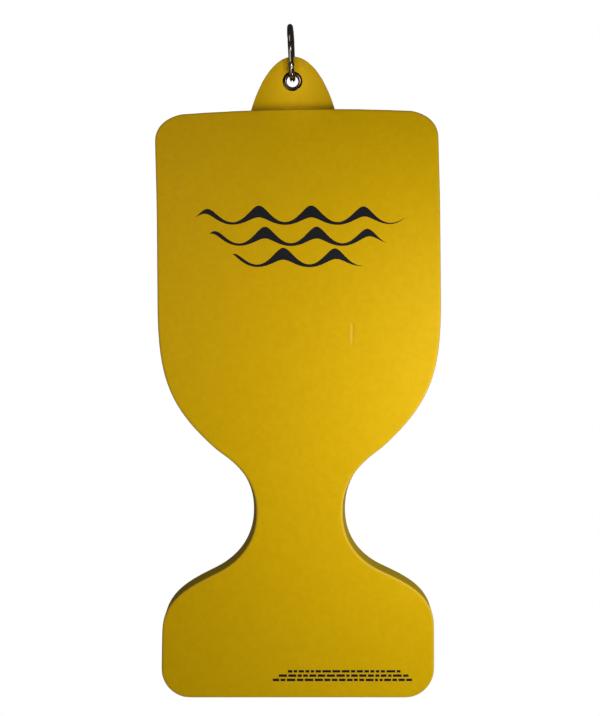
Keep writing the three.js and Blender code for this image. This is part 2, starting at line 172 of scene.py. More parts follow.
# ---- Shop tools: meshes ---------------------------------------------------------------------------

def loose_object(form, name="work"):
    mesh = bpy.data.meshes.new(name)
    form.to_mesh(mesh)
    form.free()
    made = bpy.data.objects.new(name, mesh)
    bpy.context.scene.collection.objects.link(made)
    return made


def taken_off(worked):
    """The mesh of a worked object with its modifiers applied, as a bmesh. The object is scrapped."""
    bpy.context.view_layer.update()
    graph = bpy.context.evaluated_depsgraph_get()
    form = bmesh.new()
    form.from_object(worked, graph)
    bpy.data.objects.remove(worked, do_unlink=True)
    return form


def evenly_meshed(form, grid):
    """The same form on an even grid of small faces."""
    worked = loose_object(form)
    remesh = worked.modifiers.new("grid", "REMESH")
    remesh.mode = "VOXEL"
    remesh.voxel_size = grid
    return taken_off(worked)


def combined(form, other, how):
    worked, tool = loose_object(form), loose_object(other, "tool")
    cut = worked.modifiers.new("cut", "BOOLEAN")
    cut.object = tool
    cut.operation = how
    cut.solver = "EXACT"
    result = taken_off(worked)
    bpy.data.objects.remove(tool, do_unlink=True)
    bmesh.ops.remove_doubles(result, verts=result.verts, dist=1e-6)
    return result


def smoothed(form, rounds):
    for _ in range(rounds):
        bmesh.ops.smooth_vert(form, verts=form.verts, factor=0.5,
                              use_axis_x=True, use_axis_y=True, use_axis_z=True)


def sheet_of(side, thickness, edge_radius, edge_segments):
    """A symmetrical outline, given as its right side in X and Z, as a sheet with rounded rims."""
    form = bmesh.new()
    chain = [form.verts.new((x, -thickness / 2, z)) for x, z in side]
    for first, second in zip(chain, chain[1:]):
        form.edges.new((first, second))
    bmesh.ops.mirror(form, geom=form.verts[:] + form.edges[:], matrix=Matrix.Identity(4),
                     merge_dist=1e-5, axis="X")
    bmesh.ops.remove_doubles(form, verts=form.verts, dist=1e-5)
    bmesh.ops.contextual_create(form, geom=form.edges[:])
    raised = bmesh.ops.extrude_face_region(form, geom=form.faces[:])["geom"]
    bmesh.ops.translate(form, vec=(0, thickness, 0),
                        verts=[part for part in raised if isinstance(part, bmesh.types.BMVert)])
    bmesh.ops.recalc_face_normals(form, faces=form.faces)
    rims = [edge for edge in form.edges
            if abs(edge.verts[0].co.y - edge.verts[1].co.y) < thickness / 2]
    bevelled(form, rims, edge_radius, edge_segments)
    return form


def bevelled(form, edges, width, segments=2):
    bmesh.ops.bevel(form, geom=edges, offset=width, offset_type="OFFSET", segments=segments,
                    profile=0.5, affect="EDGES", material=-1, clamp_overlap=True)


def sharp_edges(form, angle=math.radians(35)):
    return [edge for edge in form.edges
            if len(edge.link_faces) == 2 and edge.calc_face_angle(0) > angle]


def turned(profile, axis, steps=48):
    """A closed profile of (radius, place along the axis), spun round X or Y. A round piece's profile
    starts and ends on the axis."""
    form = bmesh.new()
    def placed(radius, place):
        return (place, 0, radius) if axis == "X" else (radius, place, 0)
    verts = [form.verts.new(placed(radius, place)) for radius, place in profile]
    on_axis = profile[0][0] == 0
    for first, second in zip(verts, verts[1:] + ([] if on_axis else verts[:1])):
        form.edges.new((first, second))
    way = Vector((1, 0, 0)) if axis == "X" else Vector((0, 1, 0))
    bmesh.ops.spin(form, geom=form.verts[:] + form.edges[:], cent=(0, 0, 0), axis=way,
                   angle=2 * math.pi, steps=steps, use_merge=True)
    bmesh.ops.remove_doubles(form, verts=form.verts, dist=1e-6)
    bmesh.ops.recalc_face_normals(form, faces=form.faces)
    return form


def box_form(low, high):
    form = bmesh.new()
    bmesh.ops.create_cube(form, size=1)
    low, high = Vector(low), Vector(high)
    bmesh.ops.scale(form, vec=high - low, verts=form.verts)
    bmesh.ops.translate(form, vec=(low + high) / 2, verts=form.verts)
    return form


def rod_form(axis, radius, start, end, steps=32):
    """A rod along X or Y."""
    form = bmesh.new()
    bmesh.ops.create_cone(form, cap_ends=True, segments=steps, radius1=radius, radius2=radius,
                          depth=end - start)
    bmesh.ops.translate(form, vec=(0, 0, (start + end) / 2), verts=form.verts)
    turns = {"X": Matrix.Rotation(math.pi / 2, 4, "Y"), "Y": Matrix.Rotation(-math.pi / 2, 4, "X")}
    bmesh.ops.transform(form, matrix=turns[axis], verts=form.verts)
    return form


def node_form(name):
    """A CAD node's mesh with its loose triangles joined up."""
    form = bmesh.new()
    form.from_mesh(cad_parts[name].data)
    bmesh.ops.remove_doubles(form, verts=form.verts, dist=1e-6)
    return form


def flat_node_form(name):
    """A CAD node's mesh, joined up, with its flats made whole."""
    form = node_form(name)
    bmesh.ops.dissolve_limit(form, angle_limit=math.radians(1), verts=form.verts, edges=form.edges)
    return form


def mark_rims(form):
    """Writes how far each point is on a rounded rim, and how far on a wall; the wall share sets how
    much painted shade the vinyl's walls get.
    """
    rim = form.verts.layers.float.new("rim")
    painted_shade_share = form.verts.layers.float.new("painted_shade_share")
    form.normal_update()
    for vert in form.verts:
        facing = vert.normal.y ** 2
        vert[rim] = 4 * facing * (1 - facing)
        # Walls, whose normals lie across Y, get painted shade: a darker colour as if they stood in
        # shadow.
        vert[painted_shade_share] = 1 - smoothstep(facing, 0.1, 0.5)


def made_piece(form, name, finish, smooth_angle=None):
    mesh = bpy.data.meshes.new(name)
    form.to_mesh(mesh)
    form.free()
    mesh.materials.append(finish)
    mesh.shade_smooth()
    if smooth_angle:
        mesh.set_sharp_from_angle(angle=math.radians(smooth_angle))
    piece = bpy.data.objects.new(name, mesh)
    bpy.context.scene.collection.objects.link(piece)
    return piece


# ---- Shop tools: finishes -------------------------------------------------------------------------

def effect(name, inputs, outputs):
    group = bpy.data.node_groups.new(name, "ShaderNodeTree")
    for label, default in inputs:
        socket = group.interface.new_socket(label, in_out="INPUT", socket_type="NodeSocketFloat")
        socket.default_value = default
    for label in outputs:
        group.interface.new_socket(label, in_out="OUTPUT", socket_type="NodeSocketFloat")
    return group, group.nodes.new("NodeGroupInput"), group.nodes.new("NodeGroupOutput")


def node(tree, kind, links=None, **settings):
    made = tree.nodes.new(kind)
    for key, value in settings.items():
        setattr(made, key, value)
    for socket, value in (links or {}).items():
        target = made.inputs[socket]
        if isinstance(value, bpy.types.NodeSocket):
            tree.links.new(value, target)
        else:
            target.default_value = value
    return made


def calc(tree, operation, first, second=0.0, third=0.0, clamp=False):
    return node(tree, "ShaderNodeMath", {0: first, 1: second, 2: third},
                operation=operation, use_clamp=clamp).outputs[0]


def ranged(tree, value, low, high, to_low=0.0, to_high=1.0):
    return node(tree, "ShaderNodeMapRange", {"Value": value, "From Min": low, "From Max": high,
                                             "To Min": to_low, "To Max": to_high}).outputs["Result"]


def blended_colour(tree, share, first, second):
    mix = node(tree, "ShaderNodeMix", data_type="RGBA")
    for index, value in ((0, share), (6, first), (7, second)):
        if isinstance(value, bpy.types.NodeSocket):
            tree.links.new(value, mix.inputs[index])
        else:
            mix.inputs[index].default_value = value if index == 0 else (*value, 1)
    return mix.outputs[2]


def leather_grain_effect():
    """The pebbled skin of dipped vinyl: broad softness, foam cells showing through, fine pores."""
    tree, given, out = effect("leather grain", [("Cell Scale", 130), ("Pore Scale", 900)],
                              ["Cells", "Height"])
    place = node(tree, "ShaderNodeTexCoord").outputs["Object"]
    cells = node(tree, "ShaderNodeTexNoise", {"Vector": place, "Scale": given.outputs["Cell Scale"],
                                              "Detail": 3.0, "Roughness": 0.6}).outputs["Fac"]
    pores = node(tree, "ShaderNodeTexVoronoi", {"Vector": place, "Scale": given.outputs["Pore Scale"]},
                 feature="SMOOTH_F1").outputs["Distance"]
    height = calc(tree, "ADD", calc(tree, "MULTIPLY", cells, 0.7), calc(tree, "MULTIPLY", pores, 0.3))
    tree.links.new(cells, out.inputs["Cells"])
    tree.links.new(height, out.inputs["Height"])
    return tree


def handling_wear_effect():
    """Where hands and pool decks rub: patches along the rims, and a few on the faces."""
    tree, given, out = effect("handling wear", [("Rim", 0.0), ("Patch Scale", 28), ("Amount", 1.0)],
                              ["Rubbed", "Soiled"])
    place = node(tree, "ShaderNodeTexCoord").outputs["Object"]
    patches = node(tree, "ShaderNodeTexNoise", {"Vector": place, "Scale": given.outputs["Patch Scale"],
                                                "Detail": 5.0, "Roughness": 0.65}).outputs["Fac"]
    broad = node(tree, "ShaderNodeTexNoise", {"Vector": place, "Scale": 5.0,
                                              "Detail": 2.0}).outputs["Fac"]
    on_rim = calc(tree, "MULTIPLY", ranged(tree, patches, 0.48, 0.72), given.outputs["Rim"])
    rubbed = calc(tree, "MULTIPLY", on_rim, given.outputs["Amount"], clamp=True)
    soiled = calc(tree, "MULTIPLY", ranged(tree, broad, 0.45, 0.75), ranged(tree, patches, 0.4, 0.8))
    tree.links.new(rubbed, out.inputs["Rubbed"])
    tree.links.new(soiled, out.inputs["Soiled"])
    return tree


def tarnish_effect():
    """Plated metal that has hung by a pool: cloudy patches and fine polishing lines."""
    tree, given, out = effect("tarnish", [("Cloud Scale", 160), ("Line Scale", 1400)],
                              ["Clouds", "Lines"])
    place = node(tree, "ShaderNodeTexCoord").outputs["Object"]
    clouds = node(tree, "ShaderNodeTexNoise", {"Vector": place, "Scale": given.outputs["Cloud Scale"],
                                               "Detail": 4.0, "Roughness": 0.6}).outputs["Fac"]
    stretched = node(tree, "ShaderNodeMapping", {"Vector": place, "Scale": (1, 1, 0.08)})
    lines = node(tree, "ShaderNodeTexNoise", {"Vector": stretched.outputs["Vector"],
                                              "Scale": given.outputs["Line Scale"],
                                              "Detail": 2.0}).outputs["Fac"]
    tree.links.new(ranged(tree, clouds, 0.42, 0.68), out.inputs["Clouds"])
    tree.links.new(lines, out.inputs["Lines"])
    return tree


LEATHER_GRAIN = leather_grain_effect()
HANDLING_WEAR = handling_wear_effect()
TARNISH = tarnish_effect()


def new_finish(name):
    finish = bpy.data.materials.new(name)
    finish.use_nodes = True
    tree = finish.node_tree
    return finish, tree, tree.nodes["Principled BSDF"]


def placed_effect(tree, group, **values):
    made = tree.nodes.new("ShaderNodeGroup")
    made.node_tree = group
    for label, value in values.items():
        socket = made.inputs[label.replace("_", " ")]
        if isinstance(value, bpy.types.NodeSocket):
            tree.links.new(value, socket)
        else:
            socket.default_value = value
    return made


def raised_grain(tree, shader, height, strength, distance):
    bump = node(tree, "ShaderNodeBump", {"Height": height, "Strength": strength, "Distance": distance})
    tree.links.new(bump.outputs["Normal"], shader.inputs["Normal"])


def dipped_vinyl(name, base, shade, pale, painted_wall_shade):
    """Soft coloured vinyl over foam: leathery, a little uneven in colour, rubbed along its rims, and
    darkened on its walls by painted shade.
    """
    finish, tree, shader = new_finish(name)
    grain = placed_effect(tree, LEATHER_GRAIN, Cell_Scale=130.0, Pore_Scale=900.0)
    rim = node(tree, "ShaderNodeAttribute", attribute_name="rim").outputs["Fac"]
    wear = placed_effect(tree, HANDLING_WEAR, Rim=rim, Patch_Scale=28.0, Amount=0.55)
    mottled = blended_colour(tree, ranged(tree, grain.outputs["Cells"], 0.3, 0.7), shade, base)
    soiled = calc(tree, "MULTIPLY", wear.outputs["Soiled"], 0.35)
    aged = blended_colour(tree, soiled, mottled, shade)
    worn = blended_colour(tree, calc(tree, "MULTIPLY", wear.outputs["Rubbed"], 0.35), aged, pale)
    # Painted shade: the walls are blended towards a dark olive, as if turned away from the light.
    painted_shade_share = node(tree, "ShaderNodeAttribute", attribute_name="painted_shade_share").outputs["Fac"]
    colour = blended_colour(tree, painted_shade_share, worn, painted_wall_shade)
    roughness = calc(tree, "ADD", ranged(tree, grain.outputs["Cells"], 0.3, 0.7, 0.44, 0.52),
                     calc(tree, "MULTIPLY", wear.outputs["Rubbed"], 0.15))
    tree.links.new(colour, shader.inputs["Base Color"])
    tree.links.new(roughness, shader.inputs["Roughness"])
    tree.links.new(calc(tree, "MULTIPLY_ADD", rim, 0.5, 0.06), shader.inputs["Specular IOR Level"])
    raised_grain(tree, shader, grain.outputs["Height"], 0.35, 0.0006)
    return finish


def plated_metal(name, base, dull, smooth, rough):
    finish, tree, shader = new_finish(name)
    cloud = placed_effect(tree, TARNISH, Cloud_Scale=160.0, Line_Scale=1400.0)
    colour = blended_colour(tree, cloud.outputs["Clouds"], base, dull)
    tree.links.new(colour, shader.inputs["Base Color"])
    tree.links.new(ranged(tree, cloud.outputs["Clouds"], 0.0, 1.0, smooth, rough),
                   shader.inputs["Roughness"])
    shader.inputs["Metallic"].default_value = 1.0
    raised_grain(tree, shader, cloud.outputs["Lines"], 0.02, 0.0001)
    return finish


def cut_foam(name):
    finish, tree, shader = new_finish(name)
    place = node(tree, "ShaderNodeTexCoord").outputs["Object"]
    cell = node(tree, "ShaderNodeTexVoronoi", {"Vector": place, "Scale": 700.0}).outputs["Distance"]
    broad = node(tree, "ShaderNodeTexNoise", {"Vector": place, "Scale": 12.0}).outputs["Fac"]
    colour = blended_colour(tree, ranged(tree, broad, 0.35, 0.65),
                            (0.80, 0.76, 0.64), (0.72, 0.66, 0.52))
    tree.links.new(colour, shader.inputs["Base Color"])
    tree.links.new(ranged(tree, cell, 0.0, 0.6, 0.85, 0.98), shader.inputs["Roughness"])
    raised_grain(tree, shader, cell, 0.6, 0.0005)
    return finish


def woven_webbing(name):
    finish, tree, shader = new_finish(name)
    place = node(tree, "ShaderNodeTexCoord").outputs["Object"]
    along = node(tree, "ShaderNodeTexWave", {"Vector": place, "Scale": 160.0, "Distortion": 0.3},
                 bands_direction="X").outputs["Fac"]
    across = node(tree, "ShaderNodeTexWave", {"Vector": place, "Scale": 160.0, "Distortion": 0.3},
                  bands_direction="Z").outputs["Fac"]
    weave = calc(tree, "MAXIMUM", along, across)
    colour = blended_colour(tree, weave, (0.46, 0.42, 0.34), (0.72, 0.69, 0.60))
    tree.links.new(colour, shader.inputs["Base Color"])
    tree.links.new(ranged(tree, weave, 0.0, 1.0, 0.95, 0.8), shader.inputs["Roughness"])
    raised_grain(tree, shader, weave, 0.7, 0.0003)
    return finish


def screen_ink(name):
    """Ink pressed onto the vinyl, which shows the grain below and is a little patchy."""
    finish, tree, shader = new_finish(name)
    grain = placed_effect(tree, LEATHER_GRAIN, Cell_Scale=130.0, Pore_Scale=900.0)
    wear = placed_effect(tree, HANDLING_WEAR, Rim=0.25, Patch_Scale=45.0, Amount=1.0)
    colour = blended_colour(tree, grain.outputs["Cells"],
                            (0.003, 0.003, 0.007), (0.008, 0.008, 0.015))
    thin = blended_colour(tree, calc(tree, "MULTIPLY", wear.outputs["Rubbed"], 0.3), colour,
                          (0.05, 0.042, 0.02))
    tree.links.new(thin, shader.inputs["Base Color"])
    tree.links.new(ranged(tree, grain.outputs["Cells"], 0.3, 0.7, 0.5, 0.62),
                   shader.inputs["Roughness"])
    shader.inputs["Specular IOR Level"].default_value = 0.2
    raised_grain(tree, shader, grain.outputs["Height"], 0.35, 0.0006)
    return finish


# The last colour is painted shade, laid on the walls.
YELLOW_VINYL = dipped_vinyl("yellow dipped vinyl", (0.76, 0.471, 0.0012), (0.71, 0.430, 0.0008),
                            (0.82, 0.56, 0.06), (0.40, 0.275, 0.010))
DARK_NICKEL = plated_metal("antiqued nickel", (0.06, 0.042, 0.034), (0.03, 0.02, 0.016), 0.16, 0.30)
HOOK_STEEL = plated_metal("hook steel", (0.27, 0.255, 0.24), (0.15, 0.13, 0.11), 0.10, 0.18)
SPRING_STEEL = plated_metal("spring wire", (0.55, 0.55, 0.55), (0.40, 0.38, 0.36), 0.22, 0.36)
BARE_FOAM = cut_foam("closed-cell foam")
WEBBING = woven_webbing("tab webbing")
NAVY_INK = screen_ink("navy screen ink")


# ---- Slab -----------------------------------------------------------------------------------------

def bow(first, handle, other_handle, last, pieces):
    """Points of one curve, all but its last."""
    return geometry.interpolate_bezier(first, handle, other_handle, last, pieces + 1)[:-1]


def hourglass_side():
    crest_end = CREST_HALF_WIDTH - CREST_CORNER
    crest_corner = Vector((crest_end, -CREST_SAG))
    crest_side = Vector((CREST_HALF_WIDTH, -CREST_SAG - CREST_CORNER))
    seat_end = Vector((CREST_HALF_WIDTH, -SEAT_DEPTH))
    foot_side = Vector((FOOT_HALF_WIDTH, -FOOT_DEPTH))
    foot_corner = Vector((FOOT_HALF_WIDTH, FOOT_CORNER - SLAB_LENGTH))
    foot_end = Vector((FOOT_HALF_WIDTH - FOOT_CORNER, -SLAB_LENGTH))
    points = bow(Vector((0, -CREST_DIP)), Vector((crest_end / 3, -CREST_DIP)),
                 Vector((crest_end * 2 / 3, -CREST_DIP * 2 / 3 - CREST_SAG / 3)), crest_corner, 30)
    points += bow(crest_corner, crest_corner + Vector((CREST_CORNER * 0.58, -CREST_SAG * 0.6)),
                  crest_side + Vector((0, CREST_CORNER * 0.55)), crest_side, 16)
    points += [crest_side.lerp(seat_end, step / 30) for step in range(30)]
    points += bow(seat_end, seat_end - Vector((0, SEAT_HANDLE)),
                  HIP - HIP_HANDLES[0] * HIP_SLOPE, HIP, 46)
    points += bow(HIP, HIP + HIP_HANDLES[1] * HIP_SLOPE, NECK + Vector((0, NECK_HANDLES[0])), NECK, 26)
    points += bow(NECK, NECK - Vector((0, NECK_HANDLES[1])),
                  SHOULDER - SHOULDER_HANDLES[0] * SHOULDER_SLOPE, SHOULDER, 26)
    points += bow(SHOULDER, SHOULDER + SHOULDER_HANDLES[1] * SHOULDER_SLOPE,
                  foot_side + Vector((0, FOOT_HANDLE)), foot_side, 28)
    points += [foot_side.lerp(foot_corner, step / 8) for step in range(8)]
    reach = FOOT_CORNER * ROUND_HANDLE
    points += bow(foot_corner, foot_corner - Vector((0, reach)),
                  foot_end + Vector((reach, 0)), foot_end, 18)
    points += [foot_end.lerp(Vector((0, -SLAB_LENGTH)), step / 30) for step in range(31)]
    return points


def nearness(depth, place_depth, reach):
    """How near a depth is to a place: 1 there, and nothing a few reaches away."""
    return math.exp(-(((depth - place_depth) / reach) ** 2))


def cut_by_hand(point):
    """Where the cut puts a point of the true outline, which isn't quite square or straight."""
    depth = -point.z
    near_neck = nearness(depth, -NECK.y, WALL_REACH)
    near_crest = 1 - smoothstep(depth, 0, CREST_SHIFT_REACH)
    towards_front = 0.5 - point.y / SLAB_THICKNESS
    lean = -NECK_FLARE * towards_front * near_neck * point.x / NECK.x
    drop = SHOULDER_DROP * towards_front * nearness(depth, -SHOULDER.y, WALL_REACH)
    climb = CUT_CLIMB * (1 - smoothstep(depth, CLIMB_END_DEPTH, SLAB_LENGTH))
    across = (point.x + lean + CREST_SHIFT * near_crest + NECK_SHIFT * near_neck
              + MIDDLE_SHIFT * nearness(depth, MIDDLE_DEPTH, MIDDLE_REACH))
    return Vector((across + SLAB_CENTRE_X, point.y, point.z + climb * point.x - drop + SLAB_TOP))


def dent(x, z):
    """A crease pressed into the front face by something it was packed against."""
    along = (DENT_TOP.y - z) / DENT_LENGTH
    if not -0.2 < along < 1.2:
        return 0.0
    across = (x - DENT_TOP.x) / DENT_HALF_WIDTH
    fade = smoothstep(along, -0.06, 0.12) * (1 - smoothstep(along, 0.35, 1.1))
    return DENT_DEPTH * fade * (math.exp(-across * across) - 0.35 * math.exp(-((across + 2.1) ** 2)))


def face_swell(x, z, face):
    """How far a face of the slab stands out from true, for the unevenness of poured foam."""
    place = Vector((x / FACE_RIPPLE_PITCH, face * 4.7, z / FACE_RIPPLE_PITCH))
    return FACE_RIPPLE * noise.fractal(place, 0.9, 2.1, 3)


def on_front_face(x, z, lift=0.0):
    """A point of the front face, a little in front of it."""
    return Vector((x, -SLAB_THICKNESS / 2 - face_swell(x, z, -1) + dent(x, z) - lift, z))


def foam_slab():
    form = evenly_meshed(sheet_of(hourglass_side(), SLAB_THICKNESS, SLAB_EDGE_RADIUS, 6), SLAB_GRID)
    smoothed(form, 2)
    for vert in form.verts:
        vert.co = cut_by_hand(vert.co)
    creased = [edge for edge in form.edges
               if all(vert.co.y < -0.017 and abs(vert.co.x - DENT_TOP.x) < CREASE_REACH
                      and -0.005 < DENT_TOP.y - vert.co.z < DENT_LENGTH + 0.006
                      for vert in edge.verts)]
    bmesh.ops.subdivide_edges(form, edges=creased, cuts=3, use_grid_fill=True)
    for vert in form.verts:
        x, y, z = vert.co
        share = y / (SLAB_THICKNESS / 2)
        face = -1 if share < 0 else 1
        swell = face_swell(x, z, face)
        pressed = dent(x, z) if share < -0.9 else 0.0
        vert.co.y += face * swell * abs(share) + pressed
        beside_tab = smoothstep(abs(x - TAB_CENTRE_X), TAB_HALF_BASE + 0.006, TAB_HALF_BASE - 0.004)
        at_slit = math.exp(-(y / SLIT_HALF_WIDTH) ** 2) if z > CREST_TOP - 0.004 else 0.0
        vert.co.z -= SLIT_DEPTH * beside_tab * at_slit
    mark_rims(form)
    return form


slab = made_piece(foam_slab(), "foam_slab_coat", YELLOW_VINYL)
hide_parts("vinyl_coating")
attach(slab, "float")


# ---- Marks on the front face ----------------------------------------------------------------------

def inked(columns, rows, shape_of):
    """A film of ink: a grid whose points shape_of puts in X and Z, laid on the front face."""
    form = bmesh.new()
    bmesh.ops.create_grid(form, x_segments=columns, y_segments=rows, size=1)
    for vert in form.verts:
        x, z = shape_of(vert.co.x, vert.co.y)
        vert.co = on_front_face(x, z, INK_THICKNESS)
    backs = bmesh.ops.extrude_face_region(form, geom=form.faces[:])["geom"]
    for part in backs:
        if isinstance(part, bmesh.types.BMVert):
            part.co.y += INK_THICKNESS * 2
    bmesh.ops.recalc_face_normals(form, faces=form.faces)
    return form


def joined(forms):
    whole = bmesh.new()
    for form in forms:
        mesh = bpy.data.meshes.new("stroke")
        form.to_mesh(mesh)
        form.free()
        whole.from_mesh(mesh)
        bpy.data.meshes.remove(mesh)
    return whole


def wave_stroke(width, lift, crests, start):
    """A ribbon along a wave, thin at its ends and fuller on each crest."""
    def shape(along, across):
        phase = math.pi * crests * (along + 1) + start
        body = WAVE_HEIGHT * (1 - along ** 4) * (0.62 + 0.38 * math.sin(phase))
        x = WAVE_MARK_CENTRE.x + along * width / 2 + 0.35 * WAVE_HEIGHT * math.cos(phase)
        z = WAVE_MARK_CENTRE.y + lift + WAVE_HEIGHT * math.sin(phase) + across * body
        return x, z
    return inked(120, 4, shape)


wave_mark = made_piece(joined([
    wave_stroke(WAVE_MARK_WIDTH, WAVE_PITCH, crests=4, start=0.0),
    wave_stroke(WAVE_MARK_WIDTH * 0.86, 0.0, crests=3.5, start=0.9),
    wave_stroke(WAVE_MARK_WIDTH * 0.62, -WAVE_PITCH, crests=2.5, start=1.8),
]), "wave_mark", NAVY_INK, 40)
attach(wave_mark, "float")


def dash_rows():
    """Three short rows of plain dashes near the foot."""
    draws = random.Random(4)
    forms = []
    for row, (start, end) in enumerate(DASH_ROWS):
        z = DASH_TOP - DASH_PITCH * row
        x = start
        while x < end - DASH_LENGTHS[0]:
            length = min(draws.uniform(*DASH_LENGTHS), end - x)
            left, right = x, x + length
            forms.append(inked(6, 2, lambda along, across, a=left, b=right, z=z: (
                (a + b) / 2 + along * (b - a) / 2, z + across * DASH_HALF_HEIGHT)))
            x = right + DASH_SPACE
    return joined(forms)


dash_mark = made_piece(dash_rows(), "dash_mark", NAVY_INK, 40)
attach(dash_mark, "float")


# ---- Tab ------------------------------------------------------------------------------------------

def bell_side(height, half_base, pieces=44):
    """The right side of the bell, from its apex down, and its base back to the middle."""
    spread = half_base ** 2 / height + TAB_FULLNESS * height
    side = [(0.0, 0.0)]
    for step in range(1, pieces + 1):
        depth = height * (step / pieces) ** 2
        side.append((math.sqrt(depth * (spread - TAB_FULLNESS * depth)), -depth))
    base = side[-1][1]
    side += [(half_base * (1 - step / 20), base) for step in range(1, 21)]
    return side


def tab_bend(x, z):
    """How far back the tab is pressed, in the hollows beside the hook."""
    from_eyelet = math.hypot(x - EYELET_CENTRE.x, z - EYELET_CENTRE.z)
    clear = smoothstep(from_eyelet, FLANGE_RADIUS + 0.0005, FLANGE_RADIUS + 0.006)
    hollows = 0.0
    for at, size, depth in TAB_HOLLOWS:
        away = math.hypot(x - at[0], (z - at[1]) * 0.8) / size
        hollows += depth * math.exp(-away * away)
    return clear * hollows


def tab_coat():
    height = TAB_APEX - CREST_TOP - TAB_LIFT
    side = bell_side(height, TAB_HALF_BASE)
    form = sheet_of(side, TAB_THICKNESS, TAB_EDGE_RADIUS, 3)
    bmesh.ops.translate(form, vec=(TAB_CENTRE_X, 0, TAB_APEX), verts=form.verts)
    hole = rod_form("Y", BARREL_RADIUS + BARREL_WALL + GAP, -TAB_THICKNESS, TAB_THICKNESS, 64)
    bmesh.ops.translate(hole, vec=EYELET_CENTRE, verts=hole.verts)
    form = evenly_meshed(combined(form, hole, "DIFFERENCE"), TAB_GRID)
    smoothed(form, 3)
    edge_points = kdtree.KDTree(2 * len(side))
    for index, (x, z) in enumerate(side):
        for turn in (1, -1):
            edge_points.insert((TAB_CENTRE_X + turn * x, 0, TAB_APEX + z), 2 * index + (turn > 0))
    edge_points.balance()
    for vert in form.verts:
        x, y, z = vert.co
        inward = edge_points.find((x, 0, z))[2]
        on_base = smoothstep(z, CREST_TOP + 0.004, CREST_TOP + 0.010)
        groove = HEM_DEPTH * math.exp(-(((inward - TAB_HEM) / HEM_WIDTH) ** 2)) * on_base
        full = TAB_FILL * smoothstep(inward, TAB_HEM + 0.001, TAB_HEM + 0.006) * on_base
        side_of = 1 if y > 0 else -1
        under_flange = math.hypot(x - EYELET_CENTRE.x, z - EYELET_CENTRE.z) < FLANGE_RADIUS
        if abs(y) > TAB_THICKNESS * 0.3 and not under_flange:
            vert.co.y += side_of * (full - groove)
        vert.co.y += tab_bend(x, z)
    mark_rims(form)
    return form


tab = made_piece(tab_coat(), "tab_coat", YELLOW_VINYL)
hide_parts("tab_coating")
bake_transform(tab)


def webbing_strip():
    form = flat_node_form("tab_webbing")
    for step in range(1, 66):
        bmesh.ops.bisect_plane(form, geom=form.verts[:] + form.edges[:] + form.faces[:], dist=1e-7,
                               plane_co=(0, 0, -0.040 - 0.0012 * step), plane_no=(0, 0, 1))
    for vert in form.verts:
        vert.co.y += tab_bend(vert.co.x, vert.co.z)
    return form


webbing = made_piece(webbing_strip(), "webbing_strip", WEBBING, 30)
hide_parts("tab_webbing")
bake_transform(webbing)


# ---- Eyelet and washer ----------------------------------------------------------------------------

def rolled_ring(profile, name, finish):
    form = turned(profile, "Y", 64)
    bmesh.ops.translate(form, vec=EYELET_CENTRE, verts=form.verts)
    piece = made_piece(form, name, finish)
    rounding = piece.modifiers.new("rolled", "SUBSURF")
    rounding.levels = rounding.render_levels = 1
    return piece


front = -TAB_THICKNESS / 2 - GAP
wall = BARREL_RADIUS + BARREL_WALL
eyelet = rolled_ring([
    (BARREL_RADIUS, 0), (BARREL_RADIUS, 0.0010), (BARREL_RADIUS + 0.00025, 0.0019),
    (BARREL_RADIUS + 0.0008, 0.00295), (BARREL_RADIUS + 0.0015, 0.0035),
    (BARREL_RADIUS + 0.0023, 0.0034), (BARREL_RADIUS + 0.0024, 0.00315), (wall + 0.0006, 0.0030),
    (wall, 0.0023), (wall, front + 0.0004), (wall + 0.0004, front), (FLANGE_RADIUS - 0.0003, front),
    (FLANGE_RADIUS, front - 0.0002), (FLANGE_RADIUS - 0.0001, front - 0.0006),
    (FLANGE_RADIUS - 0.0013, front - 0.0011), (FLANGE_RADIUS - 0.0032, front - 0.0015),
    (BARREL_RADIUS + 0.0014, front - 0.00145), (BARREL_RADIUS + 0.0006, front - 0.0009),
    (BARREL_RADIUS + 0.0001, front + 0.0002),
], "rolled_eyelet", DARK_NICKEL)
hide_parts("eyelet")
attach(eyelet, "tab")

back = TAB_THICKNESS / 2 + GAP
bore = wall + GAP
washer = rolled_ring([
    (bore, back + 0.0001), (bore, back + 0.0005), (bore + 0.0004, back + 0.0008),
    (bore + 0.0016, back + 0.0009), (FLANGE_RADIUS - 0.0010, back + 0.0007),
    (FLANGE_RADIUS - 0.0001, back + 0.0003), (FLANGE_RADIUS, back + 0.0001),
    (FLANGE_RADIUS - 0.0003, back), (bore + 0.0003, back),
], "eyelet_back_ring", DARK_NICKEL)
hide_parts("eyelet_washer")
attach(washer, "tab")


# ---- Snap hook ------------------------------------------------------------------------------------

